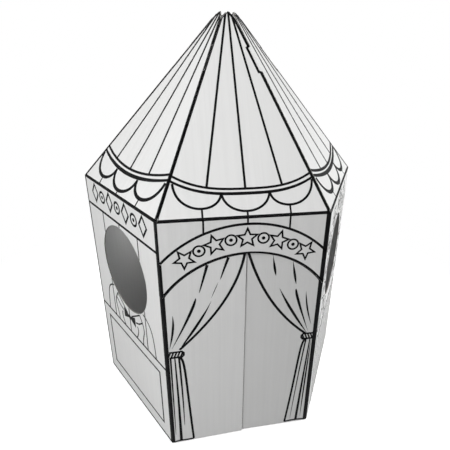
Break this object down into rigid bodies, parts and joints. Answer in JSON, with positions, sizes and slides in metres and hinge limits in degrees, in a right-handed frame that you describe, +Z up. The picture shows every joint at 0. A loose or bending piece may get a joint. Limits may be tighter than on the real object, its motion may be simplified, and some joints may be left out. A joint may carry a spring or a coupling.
{
  "type": "cardboard playhouse",
  "caption": "Six-sided tent-roofed playhouse folded from printed corrugated board, with an arched double door and round side windows, for a small child to crawl into.",
  "frame": {"origin": "middle of the house on the floor that it stands on", "axes": "+Z up, front wall with the doorway facing -Y, +X to the right as seen from the front"},
  "size_m": [0.9188, 0.7968, 1.2934],
  "materials": {
    "white_board": "matte",
    "door_board": "matte",
    "black_ink": "matte"
  },
  "bodies": {
    "house": {"folded_house": "white_board"},
    "left_leaf": {"left_door": "door_board"},
    "right_leaf": {"right_door": "door_board"}
  },
  "joints": [
    {"name": "left_door_swing", "type": "hinge", "parent": "house", "child": "left_leaf", "pos_m": [-0.22885, -0.39637, 0.3], "axis": [0, 0, -1], "range_deg": [-40, 110]},
    {"name": "right_door_swing", "type": "hinge", "parent": "house", "child": "right_leaf", "pos_m": [0.22885, -0.39637, 0.3], "axis": [0, 0, 1], "range_deg": [-40, 110]}
  ]
}
